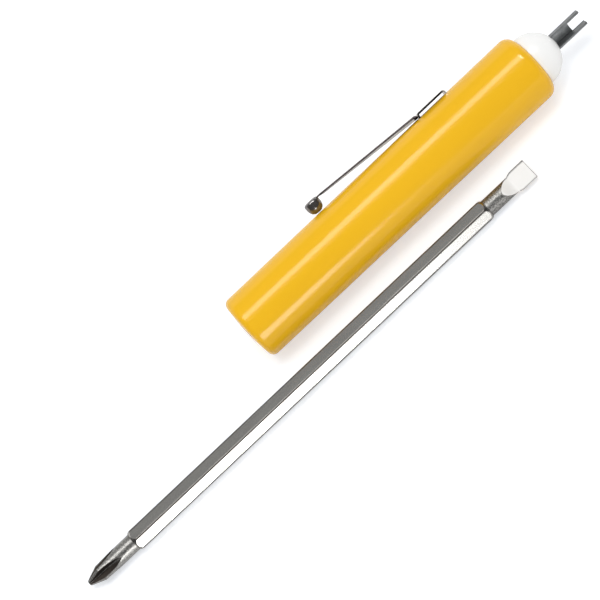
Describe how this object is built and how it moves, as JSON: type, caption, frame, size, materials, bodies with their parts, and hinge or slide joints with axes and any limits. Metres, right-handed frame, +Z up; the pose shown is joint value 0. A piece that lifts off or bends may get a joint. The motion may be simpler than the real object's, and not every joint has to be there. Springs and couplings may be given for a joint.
{
  "type": "pocket screwdriver",
  "caption": "Pocket screwdriver: round handle with pocket clip and valve fork in a domed plug, and a reversible hex blade, cross tip and slotted tip, drawn out beside it.",
  "frame": {"origin": "on the table, under the middle of the whole outline, with handle and blade lying side by side", "axes": "+X along the handle from its mouth to the valve fork, +Y to the back, away from the blade, +Z up"},
  "size_m": [0.1572, 0.0278, 0.0159],
  "materials": {
    "handle_yellow": "glossy moulded",
    "plug_white": "smooth moulded",
    "fork_steel": "rough blackened sheet",
    "clip_nickel": "bright nickel plate",
    "blade_nickel": "drawn and nickel plated",
    "socket_plastic": "moulded",
    "spring_steel": "rolled strip"
  },
  "bodies": {
    "handle": {"handle_barrel": "handle_yellow", "blade_socket": "socket_plastic", "retaining_spring": "spring_steel", "end_plug": "plug_white", "valve_fork": "fork_steel", "clip_plate": "clip_nickel"},
    "clip": {"clip_arm": "clip_nickel", "clip_ball": "clip_nickel"},
    "blade": {"blade": "blade_nickel"}
  },
  "joints": [
    {"name": "clip_flex", "type": "hinge", "parent": "handle", "child": "clip", "pos_m": [0.03879, 0.01136, 0.01305], "axis": [0, 0.5736, -0.8192], "range_deg": [0, 8], "stiffness_Nm_per_rad": 0.6, "springref_deg": -2.86},
    {"name": "blade_draw", "type": "slide", "parent": "handle", "child": "blade", "axis": [-1, 0, 0], "range_m": [0, 0.07]}
  ]
}
